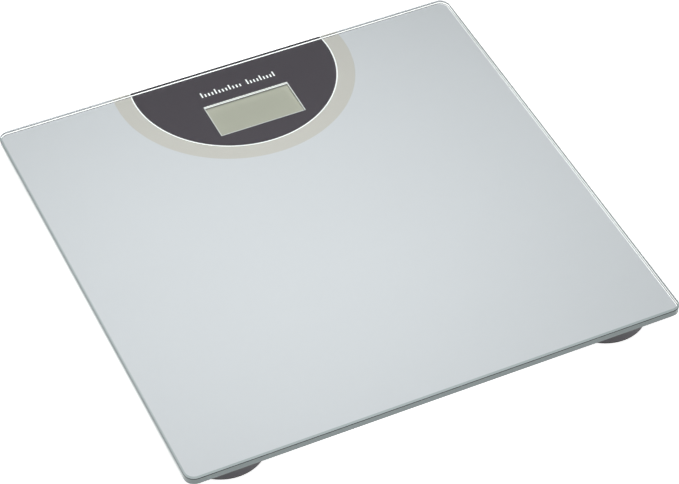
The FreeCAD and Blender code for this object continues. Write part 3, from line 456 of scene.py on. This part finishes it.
def pvc_sleeve():
    """Soft extruded PVC: faint lengthwise waviness and a low sheen."""
    finish = Finish("pvc_sleeve")
    point = finish.place()
    waviness = finish.noise(0.002, 2.0, point)
    fine = finish.noise(0.0002, 3.0, point)
    shader = finish.principled(
        Base_Color=finish.mix(waviness, (0.05, 0.05, 0.052, 1), (0.075, 0.075, 0.078, 1)),
        Roughness=fine * 0.15 + 0.38,
        Normal=finish.relief(fine, 0.00001, 0.5),
    )
    return finish.close(shader)


clip_nylon = moulding("clip_nylon", (0.84, 0.83, 0.79, 1), (0.76, 0.75, 0.71, 1), 0.35)
paint(pvc_sleeve(), *(f"sensor_lead_{corner}" for corner in foot_corners))
paint(clip_nylon, "lead_clips")


# ---- Control housing -----------------------------------------------------------------
# A shallow tray moulded in black ABS and stuck under the back of the glass with a frame
# of foam tape. Its sliding battery door and the unit button are separate mouldings.

housing_abs = moulding("housing_abs", (0.085, 0.085, 0.09, 1), (0.068, 0.068, 0.073, 1), 0.48,
                       0.0005)
button_abs = moulding("button_abs", (0.45, 0.46, 0.47, 1), (0.40, 0.41, 0.42, 1), 0.4,
                      0.0003, 0.00002)
paint(housing_abs, "control_housing", "battery_door")
paint(button_abs, "unit_button")
paint(bond, "housing_tape")


# ---- Display -------------------------------------------------------------------------
# A liquid crystal cell between its polariser and a silvered film, pressed down on two
# layered rubber connectors by a frame moulded in white ABS. A soft white gasket closes
# the gap between the polariser and the glass.

film_low, film_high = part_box("lcd_polarizer")


def polariser():
    """Anti-glare film over a blank cell: grey-green, with a very fine etched tooth. A painted
    shadow darkens it along the wall of the gasket at the back."""
    finish = Finish("polariser")
    point = finish.place()
    shade_depth = 0.0022
    # painted shadow, darkening towards the back wall of the gasket
    into_shade = (finish.axes(point)[1] - (window_back - shade_depth)) / shade_depth
    shade = into_shade.larger(0.0)
    tooth = finish.noise(0.00008, 2.0, point)
    drift = finish.noise(0.02, 1.0, point)
    tone = finish.mix(drift, (0.50, 0.475, 0.40, 1), (0.53, 0.505, 0.425, 1))
    shader = finish.principled(
        Base_Color=finish.mix(shade * shade, tone, (0.22, 0.21, 0.19, 1)),
        Roughness=tooth * 0.2 + 0.45,
        Specular_IOR_Level=0.3,
        Normal=finish.relief(tooth, 0.000005, 0.4),
    )
    return finish.close(shader)


def cell_glass():
    """Thin glass with the green of its cut edges."""
    finish = Finish("cell_glass")
    cut = finish.noise(0.0005)
    shader = finish.principled(
        Base_Color=finish.mix(cut, (0.36, 0.42, 0.36, 1), (0.44, 0.50, 0.43, 1)),
        Roughness=cut * 0.15 + 0.08,
        Coat_Weight=0.6,
    )
    return finish.close(shader)


def layered_rubber():
    """Silicone with thin black conducting layers stacked along the strip."""
    finish = Finish("layered_rubber")
    pitch = 0.0006
    layer = finish.axes(finish.place())[0] / pitch % 1.0 > 0.5
    fine = finish.noise(0.0003)
    shader = finish.principled(
        Base_Color=finish.mix(layer, (0.80, 0.42, 0.50, 1), (0.03, 0.03, 0.03, 1)),
        Roughness=fine * 0.2 + 0.5,
        Normal=finish.relief(fine, 0.00002, 0.4),
    )
    return finish.close(shader)


def gasket_silicone():
    """White silicone with a painted glow for the light that reaches it through the window,
    and a painted contact shadow in dark grey along its foot."""
    finish = Finish("gasket_silicone")
    point = finish.place()
    fine = finish.noise(0.0004, 3.0, point)
    painted_shadow_height = 0.0006
    # painted shadow: dark grey along the foot, where the gasket meets the polariser
    foot = finish.axes(point)[2] < film_high.z + painted_shadow_height
    white = finish.mix(fine, (0.90, 0.90, 0.92, 1), (0.96, 0.96, 0.97, 1))
    shader = finish.principled(
        Base_Color=finish.mix(foot, white, (0.10, 0.10, 0.10, 1)),
        Roughness=fine * 0.1 + 0.55,
        # painted glow: the white part emits light, its dark foot only a little
        Emission_Color=finish.mix(foot, (1, 1, 1, 1), (0.12, 0.12, 0.12, 1)),
        Emission_Strength=0.5,
        Normal=finish.relief(fine, 0.00002, 0.4),
    )
    return finish.close(shader)


gasket_play = 0.0001
gasket_side = window_side + gasket_play
gasket_outer = rectangle(film_low.x + gasket_play, film_high.x - gasket_play,
                         film_low.y + gasket_play, film_high.y - gasket_play)
gasket_inner = rectangle(-gasket_side, gasket_side,
                         window_front - gasket_play, window_back + gasket_play)
film("display_gasket", [gasket_outer, gasket_inner], film_high.z, under_glass - gasket_play,
     gasket_silicone())

frame_abs = moulding("frame_abs", (0.87, 0.88, 0.88, 1), (0.82, 0.83, 0.83, 1), 0.38,
                     0.0003, 0.00001)
silvered = plated_steel("silvered_film", (0.70, 0.72, 0.66, 1), 0.0002, (1, 1, 1), 0.35)
paint(frame_abs, "display_frame")
paint(polariser(), "lcd_polarizer")
paint(cell_glass(), "lcd_cell")
paint(silvered, "lcd_reflector")
paint(layered_rubber(), "lcd_connector_front", "lcd_connector_back")


# ---- Circuit board -------------------------------------------------------------------
# A glass-fibre board under green solder mask. It carries the bonded controller, a few
# surface-mount parts, the unit switch and the ends of the four leads.

def solder_mask():
    """Green mask over copper: the tracks stand slightly proud and look lighter."""
    finish = Finish("solder_mask")
    point = finish.place()
    x, y, _ = finish.axes(point)
    pitch, width = 0.0016, 0.3
    blocks = finish.noise(0.012, 0.0, point) > 0.5
    along_x = (y / pitch % 1.0 < width) * blocks
    along_y = (x / pitch % 1.0 < width) * (1.0 - blocks)
    tracks = along_x + along_y
    weave = finish.noise(0.0005)
    shader = finish.principled(
        Base_Color=finish.mix(tracks, (0.015, 0.12, 0.045, 1), (0.04, 0.22, 0.08, 1)),
        Roughness=weave * 0.15 + 0.25,
        Normal=finish.relief(tracks + weave * 0.2, 0.00003, 0.6),
    )
    return finish.close(shader)


screw_zinc = plated_steel("screw_zinc", (0.62, 0.62, 0.60, 1), 0.0003)
tin_solder = plated_steel("tin_solder", (0.75, 0.75, 0.74, 1), 0.0004)
chip_resin = moulding("chip_resin", (0.02, 0.02, 0.02, 1), (0.012, 0.012, 0.012, 1), 0.18,
                      0.002)
capacitor_case = moulding("capacitor_case", (0.72, 0.48, 0.20, 1), (0.62, 0.40, 0.16, 1), 0.45)
resistor_ceramic = moulding("resistor_ceramic", (0.05, 0.05, 0.06, 1), (0.03, 0.03, 0.035, 1),
                            0.4)
switch_nylon = moulding("switch_nylon", (0.045, 0.045, 0.045, 1), (0.03, 0.03, 0.03, 1), 0.45)
paint(solder_mask(), "circuit_board")
paint(screw_zinc, "display_frame_screws", "board_screws")
paint(tin_solder, "lead_solder_joints")
paint(chip_resin, "controller_chip")
paint(capacitor_case, "board_capacitors")
paint(resistor_ceramic, "board_resistors")
paint(switch_nylon, "unit_switch", "unit_switch_stem")


# ---- Battery -------------------------------------------------------------------------
# One 20 mm lithium coin cell in a nickel-plated can, between two contacts bent from
# plated spring steel.

cell_can = plated_steel("cell_can", (0.52, 0.52, 0.51, 1), 0.0004, (1, 0.1, 1), 0.28)
contact_spring = plated_steel("contact_spring", (0.80, 0.79, 0.75, 1), 0.0004, (0.1, 1, 1),
                              0.22)
paint(cell_can, "coin_cell")
paint(contact_spring, "battery_contact_negative", "battery_contact_positive")


# ---- Floor, light and camera ---------------------------------------------------------
# A pale matt floor just below the feet's lowest point, one soft lamp close above the
# platform, a weaker one in front and an even white sky. The camera looks down from the
# front left.

def floor_paper():
    """Bright white paper, clear from below so that the underside can be seen."""
    finish = Finish("floor_paper")
    fibre = finish.noise(0.002)
    backing = finish.node("ShaderNodeNewGeometry", output="Backfacing")
    paper = finish.principled(
        Base_Color=finish.mix(fibre, (0.93, 0.93, 0.93, 1), (0.95, 0.95, 0.95, 1)),
        Roughness=0.9,
        Emission_Color=(1.0, 1.0, 1.0, 1.0),
        Emission_Strength=0.85,
    )
    hidden = finish.node("ShaderNodeBsdfTransparent")
    return finish.close(finish.either(backing, paper, hidden))


foot_play = 0.0007
floor_reach = 8.0
floor_level = cad_box[0].z - foot_play
floor_outline = rectangle(-floor_reach, floor_reach, -floor_reach, floor_reach)
floor_mesh = bpy.data.meshes.new("floor")
floor_mesh.from_pydata([(x, y, floor_level) for x, y in floor_outline], [], [(0, 1, 2, 3)])
floor_mesh.materials.append(floor_paper())
floor = bpy.data.objects.new("floor", floor_mesh)
bpy.context.scene.collection.objects.link(floor)

sky = Finish("studio", bpy.data.worlds)
white = (1.0, 1.0, 1.0, 1.0)
soft_light = sky.node("ShaderNodeBackground", values={"Color": white, "Strength": 0.215})
backdrop = sky.node("ShaderNodeBackground", values={"Color": white, "Strength": 1.0})
seen = sky.node("ShaderNodeLightPath", output="Is Camera Ray")
sky.node("ShaderNodeOutputWorld", values={"Surface": sky.either(seen, soft_light, backdrop)})
bpy.context.scene.world = sky.made


def soft_lamp(name, place, aim, side, power):
    """A square lamp that lights the object but isn't seen or mirrored."""
    data = bpy.data.lights.new(name, "AREA")
    data.shape = "SQUARE"
    data.size = side
    data.energy = power
    lamp = bpy.data.objects.new(name, data)
    lamp.location = place
    lamp.rotation_euler = (Vector(aim) - Vector(place)).to_track_quat("-Z", "Y").to_euler()
    lamp.visible_camera = lamp.visible_glossy = False
    bpy.context.scene.collection.objects.link(lamp)


soft_lamp("lamp_above", (-0.041, 0.0, 0.52), (-0.041, 0.0, 0), side=0.3, power=2.4)
soft_lamp("lamp_front", (-0.5, -1.4, 1.2), (0, 0, 0), side=1.2, power=3.0)

view = bpy.data.cameras.new("camera")
view.lens = 140.12
view.clip_start = 0.05
camera = bpy.data.objects.new("camera", view)
camera.location = (-0.4469, -1.0024, 1.0868)
camera.rotation_euler = [math.radians(angle) for angle in (45.274, 0.4045, -24.7637)]
bpy.context.scene.collection.objects.link(camera)
bpy.context.scene.camera = camera
bpy.context.scene.view_settings.view_transform = "Standard"
